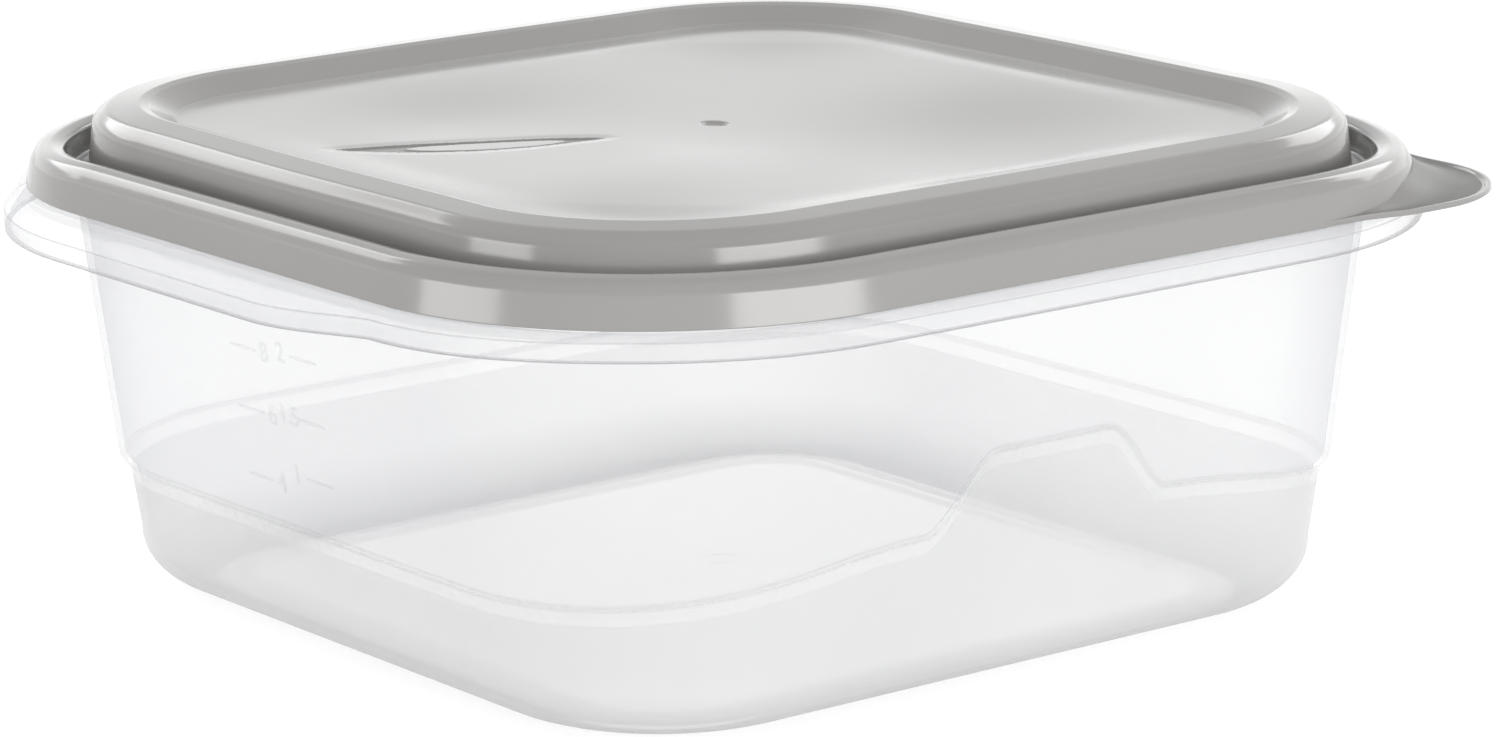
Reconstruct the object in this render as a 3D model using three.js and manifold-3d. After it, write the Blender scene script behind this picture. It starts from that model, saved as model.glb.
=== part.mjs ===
// A square food container with a snap lid: a clear moulded tub and a stiff grey lid.
// Millimetres, +Z up. The origin is the middle of the tub's base, on the surface it stands on.
// The wall towards -Y carries the matt tongue, the wall towards -X the measuring marks.
// The lid's pull tab is at the (+X, -Y) corner, the tub's thumb lip at the (-X, +Y) corner.
import * as THREE from 'three';
import { mergeVertices } from 'three/addons/utils/BufferGeometryUtils.js';
import Module from 'manifold-3d';

// Plan shape. Every outline is a square with half side "half" and round corners. The centres of
// the corner arcs are shared by all outlines, so the walls are offsets of one another.
const CORNER_CENTRE = 50.5;
const BASE_CORNER_CENTRE = 54.0;
const SMALLEST_OUTLINE = 60;
const CORNER_STEPS = 8;

// Tub
const WALL = 1.2;
const FOOT_HALF = 76.7;
const FOOT_INNER_HALF = 68.5;
const FLOOR_RECESS = 2.6;
const FLOOR_TOP = 3.9;
const HEEL_HALF = 92.5;
const HEEL_HEIGHT = 11.9;
const HEEL_STEPS = 5;
const BAND_TOP_HALF = 94.1;
const BAND_TOP = 22.4;
const SHOULDER_HALF = 96.4;
const SHOULDER_TOP = 26.4;
const WALL_TOP_HALF = 102.6;
const WALL_TOP = 78.0;
const SHELF_TOP = 79.9;
const FLANGE_HALF = 113.4;
const FLANGE_BOTTOM = 74.9;
const RIM_TOP = 87.4;
const RIM_INNER_HALF = 105.9;

// Matt tongue: how far the shoulder climbs the -Y wall, and how wide it is there.
const TONGUE_RISE = 20.6;
const TONGUE_TOP_HALF_WIDTH = 14;
const TONGUE_FOOT_HALF_WIDTH = 26;
const TONGUE_SKIRT_RISE = 3.6;
const TONGUE_SKIRT_HALF_WIDTH = 50;

// Thumb lip: how far the flange grows and drops along the -X and +Y sides.
const LIP_REACH = 3.1;
const LIP_DROP = 3.1;

// Lid
const LID_GAP = 0.3;
const SKIRT_BOTTOM = SHELF_TOP + LID_GAP;
const SKIRT_HALF = 112.1;
const RIM_CREST = 89.0;
const RIM_CREST_HALF = 107.4;
const MOAT_FLOOR = 81.7;
const RIDGE_TOP = 94.75;
const RIDGE_HALF = 89.6;
const FIELD_HALF = 82.0;
const FIELD_LEVEL = 91.4;
const FIELD_DISH = 0.7;
const GATE_DIMPLE_RADIUS = 2.9;

// Pull tab
const TAB_HALF = 110.6;
const TAB_CORNER_RADIUS = 22.5;
const TAB_TOP = 81.1;
const TAB_BEAD_TOP = 81.5;
const TAB_BEAD_WIDTH = 1.4;
const TAB_ROOT_TOP = 83.6;
const TAB_ROOT_STEPS = 4;

// Boat-shaped dent in the lid's field
const DENT_CENTRE = new THREE.Vector2(-48.5, 11.5);
const DENT_TURN = THREE.MathUtils.degToRad(-28.3);
const DENT_LENGTH = 51;
const DENT_WIDTH = 9.6;
const DENT_DEPTH = 0.9;

const wasm = await Module();
wasm.setup();

const lidMaterial = new THREE.MeshStandardMaterial({ color: 0xb4b3b0, roughness: 0.28, metalness: 0 });
const tubMaterial = new THREE.MeshStandardMaterial({
  color: 0xeff1f3, roughness: 0.2, metalness: 0, transparent: true, opacity: 0.4,
});

// ---------------------------------------------------------------- rounded-square lathe

// A station is one place round the outline: a point on the square of corner centres, as a
// fraction of its half side, and the outward direction there.
function cornerStations(turn) {
  const sign = new THREE.Vector2(Math.SQRT2, 0).rotateAround(new THREE.Vector2(), turn + Math.PI / 4);
  const stations = [];
  for (let step = 0; step <= CORNER_STEPS; step += 1) {
    const angle = turn + (step / CORNER_STEPS) * (Math.PI / 2);
    stations.push({ base: sign.clone(), out: new THREE.Vector2(Math.cos(angle), Math.sin(angle)) });
  }
  return stations;
}

function tongueStations() {
  const widths = [-40, -26, -22, -18.5, -15, -10, 10, 15, 18.5, 22, 26, 40];
  return widths.map((x) => ({
    base: new THREE.Vector2(x / CORNER_CENTRE, -1),
    out: new THREE.Vector2(0, -1),
  }));
}

function plainOutline() {
  const quarter = Math.PI / 2;
  return [0, 1, 2, 3].flatMap((corner) => cornerStations(corner * quarter));
}

function tubOutline() {
  const quarter = Math.PI / 2;
  const corners = [0, 1, 2, 3].map((corner) => cornerStations(corner * quarter));
  const lipEnd = { base: new THREE.Vector2(-1, -0.35), out: new THREE.Vector2(-1, 0) };
  const farLipEnd = { base: new THREE.Vector2(0.35, 1), out: new THREE.Vector2(0, 1) };
  return [...corners[0], farLipEnd, ...corners[1], lipEnd, ...corners[2], ...tongueStations(), ...corners[3]];
}

// Profile points are {half, z, centre}, listed from the axis, round the section, to the axis.
function at(half, z, centre = CORNER_CENTRE) {
  return { half, z, centre };
}

function placeOnOutline({ half, z, centre }, { base, out }) {
  const reach = half < SMALLEST_OUTLINE ? (centre * half) / SMALLEST_OUTLINE : centre;
  const radius = half - reach;
  return new THREE.Vector3(base.x * reach + out.x * radius, base.y * reach + out.y * radius, z);
}

function dropCollapsedTriangles(geometry) {
  const index = geometry.getIndex().array;
  const kept = [];
  for (let i = 0; i < index.length; i += 3) {
    const [a, b, c] = [index[i], index[i + 1], index[i + 2]];
    if (a !== b && b !== c && a !== c) kept.push(a, b, c);
  }
  geometry.setIndex(kept);
  return geometry;
}

function welded(geometry) {
  geometry.deleteAttribute('normal');
  geometry.deleteAttribute('uv');
  return dropCollapsedTriangles(mergeVertices(geometry, 1e-4));
}

// A lathe supplies the faces. Its vertices are then moved from circles to rounded squares.
function squareLathe(profile, stations, adjust = (point) => point) {
  const section = profile.map(({ half, z }) => new THREE.Vector2(half, z));
  const geometry = new THREE.LatheGeometry(section, stations.length);
  const position = geometry.getAttribute('position');
  for (let i = 0; i <= stations.length; i += 1) {
    const station = stations[i % stations.length];
    profile.forEach((point, j) => {
      const place = placeOnOutline(adjust(point, station), station);
      position.setXYZ(i * profile.length + j, place.x, place.y, place.z);
    });
  }
  return welded(geometry);
}

// ---------------------------------------------------------------- joining and cutting

function toSolid(geometry) {
  const vertProperties = Float32Array.from(geometry.getAttribute('position').array);
  const triVerts = Uint32Array.from(geometry.getIndex().array);
  return new wasm.Manifold(new wasm.Mesh({ numProp: 3, vertProperties, triVerts }));
}

function toGeometry(solid) {
  const mesh = solid.getMesh();
  const geometry = new THREE.BufferGeometry();
  geometry.setAttribute('position', new THREE.BufferAttribute(mesh.vertProperties, 3));
  geometry.setIndex(new THREE.BufferAttribute(mesh.triVerts, 1));
  return geometry;
}

function slab(shape, bottom, top) {
  const geometry = new THREE.ExtrudeGeometry(shape, { depth: top - bottom, bevelEnabled: false, curveSegments: 10 });
  geometry.translate(0, 0, bottom);
  return toSolid(welded(geometry));
}

// ---------------------------------------------------------------- tub

// The rounded heel between the base and the wall, as a quarter of an ellipse.
function heel(fromHalf, toHalf, fromZ, toZ) {
  const points = [];
  for (let step = 0; step <= HEEL_STEPS; step += 1) {
    const t = (step / HEEL_STEPS) * (Math.PI / 2);
    const half = fromHalf + (toHalf - fromHalf) * Math.sin(t);
    const z = fromZ + (toZ - fromZ) * (1 - Math.cos(t));
    const centre = THREE.MathUtils.lerp(BASE_CORNER_CENTRE, CORNER_CENTRE, step / HEEL_STEPS);
    points.push(at(half, z, centre));
  }
  return points;
}

// The wall below the shoulder steps in. "climb" marks the points that rise with the tongue.
function shoulder(inset) {
  const climbing = (half, z) => ({ ...at(half - inset, z), climb: true });
  return [
    climbing(BAND_TOP_HALF, BAND_TOP),
    climbing(BAND_TOP_HALF + 0.7, BAND_TOP + 1.6),
    climbing(SHOULDER_HALF - 0.7, SHOULDER_TOP - 1.4),
    climbing(SHOULDER_HALF, SHOULDER_TOP),
  ];
}

// "lip" is how much of the thumb lip's reach and drop a flange point takes.
function lipPoint(half, z, reach, drop) {
  return { ...at(half, z), lip: { reach: reach * LIP_REACH, drop: drop * LIP_DROP } };
}

function flange() {
  const inner = FLANGE_HALF - WALL;
  return [
    at(WALL_TOP_HALF + 1.4, WALL_TOP),
    lipPoint(inner - 0.9, WALL_TOP, 0.25, 0.15),
    lipPoint(inner, WALL_TOP - 0.8, 0.4, 0.6),
    lipPoint(inner, WALL_TOP - 1.8, 1, 0.6),
    lipPoint(inner, FLANGE_BOTTOM, 1, 1),
    lipPoint(FLANGE_HALF - 0.1, FLANGE_BOTTOM, 1, 1),
    lipPoint(FLANGE_HALF, SHELF_TOP - 1.5, 1, 1),
    lipPoint(FLANGE_HALF - 0.4, SHELF_TOP - 1.0, 0.85, 0.9),
    lipPoint(FLANGE_HALF - 0.7, SHELF_TOP - 0.6, 0.45, 0.8),
    lipPoint(FLANGE_HALF - 1.1, SHELF_TOP - 0.2, 0.4, 0.2),
    lipPoint(FLANGE_HALF - 1.5, SHELF_TOP, 0.3, 0),
  ];
}

// The upstand that the lid's channel sits over, with the snap bead near its top.
function upstand() {
  return [
    at(RIM_INNER_HALF + 1.9, SHELF_TOP),
    at(RIM_INNER_HALF + 2.0, RIM_TOP - 2.9),
    at(RIM_INNER_HALF + 3.1, RIM_TOP - 1.7),
    at(RIM_INNER_HALF + 3.0, RIM_TOP - 0.7),
    at(RIM_INNER_HALF + 2.3, RIM_TOP),
    at(RIM_INNER_HALF + 0.7, RIM_TOP),
    at(RIM_INNER_HALF, RIM_TOP - 0.8),
    at(RIM_INNER_HALF, SHELF_TOP + 0.7),
    at(RIM_INNER_HALF - 0.9, SHELF_TOP - 0.3),
    at(WALL_TOP_HALF - WALL + 0.8, SHELF_TOP - 0.3),
  ];
}

function tubProfile() {
  const outerHeel = heel(FOOT_HALF, HEEL_HALF, 0, HEEL_HEIGHT);
  const innerHeel = heel(FOOT_HALF - WALL, HEEL_HALF - WALL, WALL, HEEL_HEIGHT + 0.5);
  return [
    at(0, FLOOR_RECESS),
    at(FOOT_INNER_HALF - 3.0, FLOOR_RECESS, BASE_CORNER_CENTRE),
    at(FOOT_INNER_HALF, 0, BASE_CORNER_CENTRE),
    ...outerHeel,
    ...shoulder(0),
    at(WALL_TOP_HALF, WALL_TOP - 1),
    ...flange(),
    ...upstand(),
    at(WALL_TOP_HALF - WALL, WALL_TOP - 0.6),
    ...shoulder(WALL).reverse(),
    ...innerHeel.reverse(),
    at(FOOT_INNER_HALF + 1.3, WALL, BASE_CORNER_CENTRE),
    at(FOOT_INNER_HALF - 2.3, FLOOR_TOP, BASE_CORNER_CENTRE),
    at(0, FLOOR_TOP),
  ];
}

const smooth = (from, to, value) => THREE.MathUtils.smoothstep(value, from, to);

// How far the shoulder climbs at a distance x along the -Y wall.
function tongueClimb({ base, out }) {
  if (out.y > -0.999) return 0;
  const x = Math.abs(base.x * CORNER_CENTRE);
  const face = 1 - smooth(TONGUE_TOP_HALF_WIDTH, TONGUE_FOOT_HALF_WIDTH, x);
  const foot = 1 - smooth(TONGUE_FOOT_HALF_WIDTH, TONGUE_SKIRT_HALF_WIDTH, x);
  return foot * TONGUE_SKIRT_RISE + face * (TONGUE_RISE - TONGUE_SKIRT_RISE);
}

// 1 along the -X and +Y sides, fading to 0 over the corners at either end.
function lipShare({ base, out }) {
  const along = (out.y - out.x) / Math.SQRT2;
  const side = (base.y - base.x) / 2;
  return smooth(-0.1, 0.71, along) * smooth(-0.15, 0.35, side);
}

// Points on the tongue slide up along the drafted wall as they climb.
function adjustTub(point, station) {
  if (point.climb) {
    const rise = tongueClimb(station);
    const draft = (WALL_TOP_HALF - SHOULDER_HALF) / (WALL_TOP - 1 - SHOULDER_TOP);
    return { ...point, z: point.z + rise, half: point.half + rise * draft };
  }
  if (point.lip) {
    const share = lipShare(station);
    return { ...point, half: point.half + share * point.lip.reach, z: point.z - share * point.lip.drop };
  }
  return point;
}

function makeTub() {
  const solid = toSolid(squareLathe(tubProfile(), tubOutline(), adjustTub));
  return new THREE.Mesh(toGeometry(solid), tubMaterial);
}

// ---------------------------------------------------------------- lid

// From the centre of the field, over the ridge, down to the edge of the moat.
function plateauTop() {
  return [
    at(0, FIELD_LEVEL - FIELD_DISH - 0.5),
    at(GATE_DIMPLE_RADIUS - 0.8, FIELD_LEVEL - FIELD_DISH - 0.4),
    at(GATE_DIMPLE_RADIUS, FIELD_LEVEL - FIELD_DISH),
    at(SMALLEST_OUTLINE, FIELD_LEVEL),
    at(FIELD_HALF, FIELD_LEVEL),
    at(RIDGE_HALF - 1.6, RIDGE_TOP - 0.5),
    at(RIDGE_HALF, RIDGE_TOP),
    at(RIDGE_HALF + 1.6, RIDGE_TOP - 0.05),
    at(RIDGE_HALF + 7.0, RIDGE_TOP - 1.05),
    at(RIDGE_HALF + 8.6, RIDGE_TOP - 1.7),
    at(RIDGE_HALF + 9.3, RIDGE_TOP - 3.0),
  ];
}

function moatAndRim() {
  return [
    at(100.2, MOAT_FLOOR + 1.2),
    at(101.4, MOAT_FLOOR),
    at(103.2, MOAT_FLOOR),
    at(104.1, MOAT_FLOOR + 1.1),
    at(104.4, RIM_CREST - 1.7),
    at(105.1, RIM_CREST - 0.5),
    at(RIM_CREST_HALF, RIM_CREST),
    at(109.4, RIM_CREST - 0.4),
    at(110.5, RIM_CREST - 1.3),
    at(110.9, RIM_CREST - 2.5),
    at(SKIRT_HALF - 0.35, SKIRT_BOTTOM + 1.1),
    at(SKIRT_HALF, SKIRT_BOTTOM + 0.8),
    at(SKIRT_HALF, SKIRT_BOTTOM),
  ];
}

// Inside the skirt: the snap bead, the channel over the tub's upstand, and the plug wall.
function channel() {
  return [
    at(SKIRT_HALF - 1.2, SKIRT_BOTTOM),
    at(110.6, SKIRT_BOTTOM + 1.6),
    at(109.4, SKIRT_BOTTOM + 3.0),
    at(110.0, SKIRT_BOTTOM + 4.4),
    at(109.7, RIM_TOP - 0.9),
    at(108.5, RIM_TOP + LID_GAP + 0.1),
    at(106.3, RIM_TOP + LID_GAP + 0.1),
    at(105.5, RIM_TOP - 0.4),
    at(105.5, MOAT_FLOOR + 0.2),
    at(104.5, MOAT_FLOOR - WALL),
    at(100.6, MOAT_FLOOR - WALL),
    at(99.1, MOAT_FLOOR + 0.3),
  ];
}

function plateauUnderside() {
  return [
    at(RIDGE_HALF + 8.1, RIDGE_TOP - 3.4),
    at(RIDGE_HALF + 6.7, RIDGE_TOP - 2.25),
    at(RIDGE_HALF, RIDGE_TOP - 1.2),
    at(FIELD_HALF + 0.4, FIELD_LEVEL - WALL),
    at(SMALLEST_OUTLINE, FIELD_LEVEL - WALL),
    at(GATE_DIMPLE_RADIUS + 2, FIELD_LEVEL - FIELD_DISH - WALL),
    at(0, FIELD_LEVEL - FIELD_DISH - WALL - 0.5),
  ];
}

// A plate that squares off the (+X, -Y) corner of the skirt, "edge" in from its outline. Its inner
// side is an arc inside the skirt's wall, where "root" is the arc's radius.
function tabShape(edge, root = SKIRT_HALF - 0.6 - CORNER_CENTRE) {
  const half = TAB_HALF - edge;
  const radius = TAB_CORNER_RADIUS - edge;
  const reach = half - CORNER_CENTRE;
  const turn = Math.acos(reach / root);
  const shape = new THREE.Shape();
  shape.moveTo(CORNER_CENTRE + root * Math.sin(turn), -half);
  shape.lineTo(half - radius, -half);
  shape.absarc(half - radius, radius - half, radius, -Math.PI / 2, 0, false);
  shape.lineTo(half, -CORNER_CENTRE - root * Math.sin(turn));
  shape.absarc(CORNER_CENTRE, -CORNER_CENTRE, root, -turn, turn - Math.PI / 2, true);
  return shape;
}

// The tab's top sweeps up to the skirt in a hollow curve, here in low steps.
function tabRoot() {
  const steps = [];
  for (let step = 1; step <= TAB_ROOT_STEPS; step += 1) {
    const share = step / TAB_ROOT_STEPS;
    const top = TAB_TOP + (TAB_ROOT_TOP - TAB_TOP) * share * share;
    const radius = SKIRT_HALF - CORNER_CENTRE + 5.5 * (1 - share) + 0.5;
    const arc = new THREE.Shape();
    arc.absarc(CORNER_CENTRE, -CORNER_CENTRE, radius, -Math.PI / 2 + 0.35, -0.35, false);
    arc.absarc(CORNER_CENTRE, -CORNER_CENTRE, SKIRT_HALF - 0.9 - CORNER_CENTRE, -0.35, -Math.PI / 2 + 0.35, true);
    steps.push(slab(arc, TAB_TOP - 0.3, top));
  }
  return steps.reduce((sum, next) => sum.add(next));
}

function makeTab() {
  const plate = slab(tabShape(0), SKIRT_BOTTOM, TAB_TOP);
  const bead = slab(tabShape(0), TAB_TOP - 0.2, TAB_BEAD_TOP);
  const dish = slab(tabShape(TAB_BEAD_WIDTH), TAB_TOP - 0.4, TAB_BEAD_TOP + 1);
  const within = slab(tabShape(0), SKIRT_BOTTOM, TAB_ROOT_TOP + 1);
  return plate.add(bead.subtract(dish)).add(tabRoot().intersect(within));
}

// A pointed oval made of two arcs.
function boatShape(length, width) {
  const bow = length / 2;
  const beam = width / 2;
  const radius = (bow * bow + beam * beam) / (2 * beam);
  const sweep = Math.asin(bow / radius);
  const shape = new THREE.Shape();
  shape.absarc(0, beam - radius, radius, Math.PI / 2 + sweep, Math.PI / 2 - sweep, true);
  shape.absarc(0, radius - beam, radius, sweep - Math.PI / 2, -sweep - Math.PI / 2, true);
  return shape;
}

function boat(length, width, bottom, top) {
  return slab(boatShape(length, width), bottom, top)
    .rotate([0, 0, THREE.MathUtils.radToDeg(DENT_TURN)])
    .translate([DENT_CENTRE.x, DENT_CENTRE.y, 0]);
}

function makeLid() {
  const profile = [...plateauTop(), ...moatAndRim(), ...channel(), ...plateauUnderside()].reverse();
  const shell = toSolid(squareLathe(profile, plainOutline()));
  const backing = boat(DENT_LENGTH + 4, DENT_WIDTH + 2.4, FIELD_LEVEL - WALL - DENT_DEPTH, FIELD_LEVEL - 0.9);
  const hollow = boat(DENT_LENGTH, DENT_WIDTH, FIELD_LEVEL - DENT_DEPTH - 0.3, RIDGE_TOP);
  const solid = shell.add(makeTab()).add(backing).subtract(hollow);
  return new THREE.Mesh(toGeometry(solid), lidMaterial);
}

// ---------------------------------------------------------------- assembly

const container = new THREE.Group();

const tub = makeTub();
tub.name = 'tub';
container.add(tub);

const lid = makeLid();
lid.name = 'lid';
container.add(lid);

export default container;
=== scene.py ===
"""A square food container with a snap lid: a clear moulded tub and a stiff grey lid.

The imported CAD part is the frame. Its two nodes are replaced by finer shells of the same size.
Lengths are millimetres until they become vertices, and z is the height above the surface that
the container stands on. Nearly every outline of the object is a square with rounded corners whose
arcs share their centres, so one lathe-like loft makes both shells.
"""

import math
from collections import namedtuple

import bmesh
import bpy
from mathutils import Matrix, Vector
from mathutils.geometry import delaunay_2d_cdt


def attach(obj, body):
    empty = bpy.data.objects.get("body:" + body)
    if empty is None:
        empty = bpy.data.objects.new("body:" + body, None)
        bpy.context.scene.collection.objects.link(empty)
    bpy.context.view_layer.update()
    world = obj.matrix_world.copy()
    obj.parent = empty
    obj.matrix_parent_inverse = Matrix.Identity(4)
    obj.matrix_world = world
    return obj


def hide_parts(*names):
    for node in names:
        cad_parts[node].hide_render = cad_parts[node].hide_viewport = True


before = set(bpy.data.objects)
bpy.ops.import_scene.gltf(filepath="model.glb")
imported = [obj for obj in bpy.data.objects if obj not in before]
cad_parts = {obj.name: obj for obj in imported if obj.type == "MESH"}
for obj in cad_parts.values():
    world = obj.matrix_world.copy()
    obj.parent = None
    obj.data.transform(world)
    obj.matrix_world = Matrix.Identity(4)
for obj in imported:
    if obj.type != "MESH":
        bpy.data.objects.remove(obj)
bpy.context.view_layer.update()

MM = 0.001
QUARTER = math.pi / 2

# Plan shape. Outlines up to ROUND_HALF are circles, and from SQUARE_HALF on rounded squares.
CORNER_CENTRE = 50.5
BASE_CORNER_CENTRE = 54.0
FIELD_CORNER_CENTRE = 53.1
ROUND_HALF = 8.0
SQUARE_HALF = 60.0
CORNER_STEPS = 22
SIDE_STEPS = 60
ARC_STEPS = 4

# Places of the finishes in the lists that the tub, the lid and the tab are given
# The tub's fourth finish paints shade: dark lines along the flange's bottom edge and crease
CLEAR_TONE, MATT_TONE, BASE_TONE, SHADE_LINE_TONE, SATIN_TONE, FLOOR_TONE = range(6)
# The lid's second tone is a darker grey that paints shade in the dent's floor
LID_TONE, DENT_SHADE_TONE = range(2)
# The tab's first tone is a rougher, darker grey that paints shade on its top
TAB_SHADE_TONE, BEAD_TONE = range(2)

# Tub. A pair is a half side and a height.
WALL = 1.2
BASE_RISE = 2.6
INNER_FLOOR = 3.9
GATE_RING = 4.3
HEEL_FOOT = (76.7, 0.0)
HEEL_TOP = (92.5, 11.9)
HEEL_STEPS = 12
BAND_TOP = (94.1, 22.8)
SHOULDER_FOOT = (94.8, 25.4)
SHOULDER = (96.35, 26.6)
WALL_TOP = (102.75, 78.0)
SHELF_TOP = 79.9
FLANGE_HALF = 113.4
FLANGE_BOTTOM = 74.9
CREASE = 78.3
# Height of the dark strips that paint shade lines along the flange's bottom edge and crease
SHADE_LINE_HEIGHT = 0.3
LIP_REACH = 3.1
RIM_TOP = 87.4
RIM_INNER_HALF = 105.9
RIM_DIP = 1.7
DIP_TURN = math.radians(52.5)

# Matt tongue on the -Y wall, in the middle of a broad swell of the shoulder
TONGUE_MIDDLE = 1.5
TONGUE_RISE = 13.9
TONGUE_TOP_HALF_WIDTH = 12.8
TONGUE_FOOT_HALF_WIDTH = 28.8
SHOULDER_SWELL = 6.9
SWELL_TOP_HALF_WIDTH = 26.0
SWELL_FOOT_HALF_WIDTH = 96.0

# Measuring marks on the -X wall: two scales, each with its numbers and their heights
MARK_HEIGHT = 0.12
MARK_WIDTH = 0.7
NUMBER_SIZE = 5.5
NUMBER_BEVEL = 0.05
TICK_LENGTH = 8.5
TICK_STEPS = 6
TICK_SIDES = 8
LEFT_TICK_Y = 15.5
LEFT_NUMBER_Y = 4.2
LEFT_SCALE = (("8", 60.0), ("6", 48.0), ("4", 35.0))
RIGHT_TICK_Y = -4.6
RIGHT_NUMBER_Y = -1.4
RIGHT_SCALE = (("2", 61.0), ("1.5", 49.0), ("1", 37.6))

# Lid
SKIRT_BOTTOM = 80.2
SKIRT_HALF = 112.1
MOAT_FLOOR = 81.7
RIM_CREST = 89.0
RIDGE_TOP = 94.75
FIELD_HALF = 82.0
FIELD_LEVEL = 91.4
FIELD_DISH = 0.7
FIELD_EASE = 14.0
FIELD_BULGE = 1.0
PLATEAU_BULGE = 0.6

# Soft swells of the field. Each is a low step up towards SWELL_TURN: x, y, spread, slope.
SWELL_TURN = math.radians(232.4)
SWELLS = [
    (-25.0, 48.0, 19.0, -0.030),
    (48.0, -30.0, 22.0, -0.045),
    (62.0, 60.0, 14.0, -0.030),
    (-62.0, -52.0, 14.0, -0.030),
    (-20.0, -22.0, 13.0, 0.022),
    (-45.0, 22.0, 13.0, 0.020),
    (0.0, -70.0, 12.0, 0.020),
]

# Mark of the moulding gate in the middle of the lid
DIMPLE_RADIUS = 2.9
DIMPLE_EASE = 1.1
DIMPLE_DEPTH = 0.5
DIMPLE_RINGS = (0.8, 1.4, 1.8, 2.1, 2.4, 2.7, 3.0, 3.4)
DIMPLE_STEPS = 24

# Boat-shaped dent in the lid's field, with a soft halo round it and a level pad in its floor.
# DENT_TIP_INSET is how many times farther in the floor's tips are than its sides.
DENT_CENTRE = Vector((-48.5, 11.5))
DENT_TURN = math.radians(-28.3)
DENT_LENGTH = 51.0
DENT_WIDTH = 9.6
DENT_DEPTH = 0.28
DENT_STEP = 0.35
DENT_TIP_INSET = 2.75
DENT_TIP_STEPS = 30
DENT_HALO = 3.5
DENT_ROLL_OFF = 0.12
DENT_PAD_CENTRE = 2.8
DENT_PAD_LENGTH = 30.4
DENT_PAD_WIDTH = 6.8
DENT_PAD_DEPTH = 0.1
DENT_PAD_STEPS = 96

# Net of points that the lid's field is made from. The dent's own net has steps along and across.
NET_MARGIN = 1.5
NET_STEP = 2.5
DENT_NET_STEPS = (0.9, 0.6)

# Pull tab at the (+X, -Y) corner
TAB_HALF = 111.9
TAB_CORNER_RADIUS = 27.0
TAB_DROOP = 0.7
TAB_THICKNESS = 1.1
TAB_ROOT_RISE = 3.0
TAB_ROOT_INSET = 0.9
TAB_EASE = 12.0
TAB_BEAD = 0.5
TAB_OUTLINE_STEPS = 24
TAB_SWEEP_STEPS = 12
TAB_SWEEP_POWER = 2.4
TAB_BEAD_STEPS = 8

# Finishes
PLASTIC_IOR = 1.49
GREY_TINT = (1.0, 0.985, 0.96)
NOISE_LOW, NOISE_HIGH = 0.3, 0.7

# Studio, in metres: the white surround is brighter at the horizon than overhead
HORIZON_LIGHT = 1.65
ZENITH_LIGHT = 1.0
HORIZON_END = 0.05
ZENITH_START = 0.42
TABLE_HALF = 14.0
TABLE_DROP = 0.0002
TABLE_GLOW = 0.78
LIGHTS_AIM = Vector((0, 0, 0.08))

# Camera: a low three-quarter view of the (-X, -Y) corner, rolled a little
CAMERA_TURN = math.radians(-37.541)
CAMERA_RISE = math.radians(13.414)
CAMERA_ROLL = math.radians(-0.764)
CAMERA_TARGET = Vector((0.0, 0.0, 57.8))
CAMERA_SIDE_SHIFT = 6.325
CAMERA_UP_SHIFT = -15.18
CAMERA_DISTANCE = 1079.7
CAMERA_LENS = 135.02


def smooth(low, high, value):
    """0 below low, 1 above high, and a smooth step between."""
    share = min(1.0, max(0.0, (value - low) / (high - low)))
    return share * share * (3 - 2 * share)


# ---------------------------------------------------------------- outlines

# A place is one spot round an outline: a point on the square of corner centres, as a fraction of
# its half side, the outward direction there, and how far it is along a straight side, from -1 to 1.
Place = namedtuple("Place", "base out along")


def corner_places(corner):
    """Places round one corner's arc. Corner 0 is the (+X, +Y) one, and they run anticlockwise."""
    turn = corner * QUARTER
    base = Vector((math.cos(turn + QUARTER / 2), math.sin(turn + QUARTER / 2))) * math.sqrt(2)
    angles = [turn + QUARTER * step / CORNER_STEPS for step in range(CORNER_STEPS + 1)]
    return [Place(base, Vector((math.cos(a), math.sin(a))), 1.0) for a in angles]


def outline_places():
    """Places anticlockwise from the +X side: a corner's arc, then the straight side after it."""
    places = []
    for corner in range(4):
        arc = corner_places(corner)
        start, end = arc[0].base, corner_places((corner + 1) % 4)[0].base
        out = arc[-1].out
        straight = []
        for step in range(1, SIDE_STEPS):
            share = step / SIDE_STEPS
            straight.append(Place(start.lerp(end, share), out, 2 * share - 1))
        places += arc + straight
    return places


PLACES = outline_places()

# A knot is a corner of a section. half is the half side of the outline there, radius rounds the
# corner, centre is where the outline's corner arcs are centred, bulge is how far its straight
# sides bow out, and tone is the finish of the faces from there to the next knot.
Knot = namedtuple("Knot", "half z radius centre bulge tone", defaults=(0.0, CORNER_CENTRE, 0.0, 0))


def placed(knot, place):
    """The point of a knot's outline at a place. Small outlines turn into circles."""
    share = min(1.0, max(0.0, (knot.half - ROUND_HALF) / (SQUARE_HALF - ROUND_HALF)))
    reach = knot.centre * share
    bow = knot.bulge * math.cos(place.along * QUARTER) ** 2
    flat = place.base * reach + place.out * (knot.half - reach + bow)
    return Vector((flat.x, flat.y, knot.z))


def filleted(knots):
    """The section with each knot that has a radius turned into a short arc."""
    points = []
    for before, knot, after in zip(knots[:1] + knots, knots, knots[1:] + knots[-1:]):
        if knot.radius == 0:
            points.append(knot)
            continue
        corner = Vector((knot.half, knot.z))
        back = Vector((before.half, before.z)) - corner
        ahead = Vector((after.half, after.z)) - corner
        cut = knot.radius / math.tan(back.angle(ahead) / 2)
        cut = min(cut, 0.47 * back.length, 0.47 * ahead.length)
        start = corner + back.normalized() * cut
        end = corner + ahead.normalized() * cut
        for step in range(ARC_STEPS + 1):
            t = step / ARC_STEPS
            spot = start * (1 - t) ** 2 + corner * 2 * t * (1 - t) + end * t**2
            points.append(knot._replace(half=spot.x, z=spot.y))
    return points


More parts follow.
